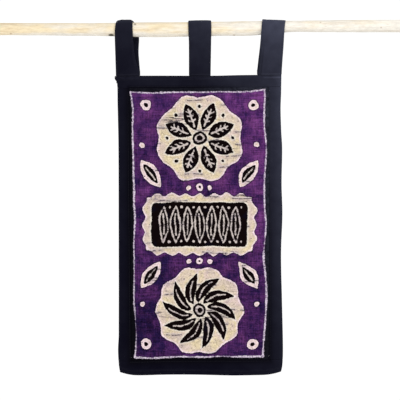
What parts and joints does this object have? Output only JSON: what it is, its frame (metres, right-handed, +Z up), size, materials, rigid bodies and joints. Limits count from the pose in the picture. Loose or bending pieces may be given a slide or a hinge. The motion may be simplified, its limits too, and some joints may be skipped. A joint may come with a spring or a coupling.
{
  "type": "batik wall hanging on a wooden rod",
  "caption": "Tall batik cloth panel with a dark sewn border, hung by folded cloth tabs from a peeled wooden rod.",
  "frame": {"origin": "on the rod's axis at the middle of the rod's length", "axes": "+X along the rod towards the viewer's right, +Y towards the wall behind, +Z up; the picture side faces -Y"},
  "size_m": [0.92, 0.036, 0.7442],
  "materials": {
    "peeled_wood": "matte, peeled and sanded",
    "black_cotton": "matte with a faint sheen",
    "batik_cotton": "matte, dyed with a wax resist"
  },
  "bodies": {
    "root": {"rod": "peeled_wood", "tab_left": "black_cotton", "tab_centre": "black_cotton", "tab_right": "black_cotton", "border_top": "black_cotton", "border_bottom": "black_cotton", "border_left": "black_cotton", "border_right": "black_cotton", "batik_panel": "batik_cotton"}
  },
  "joints": []
}
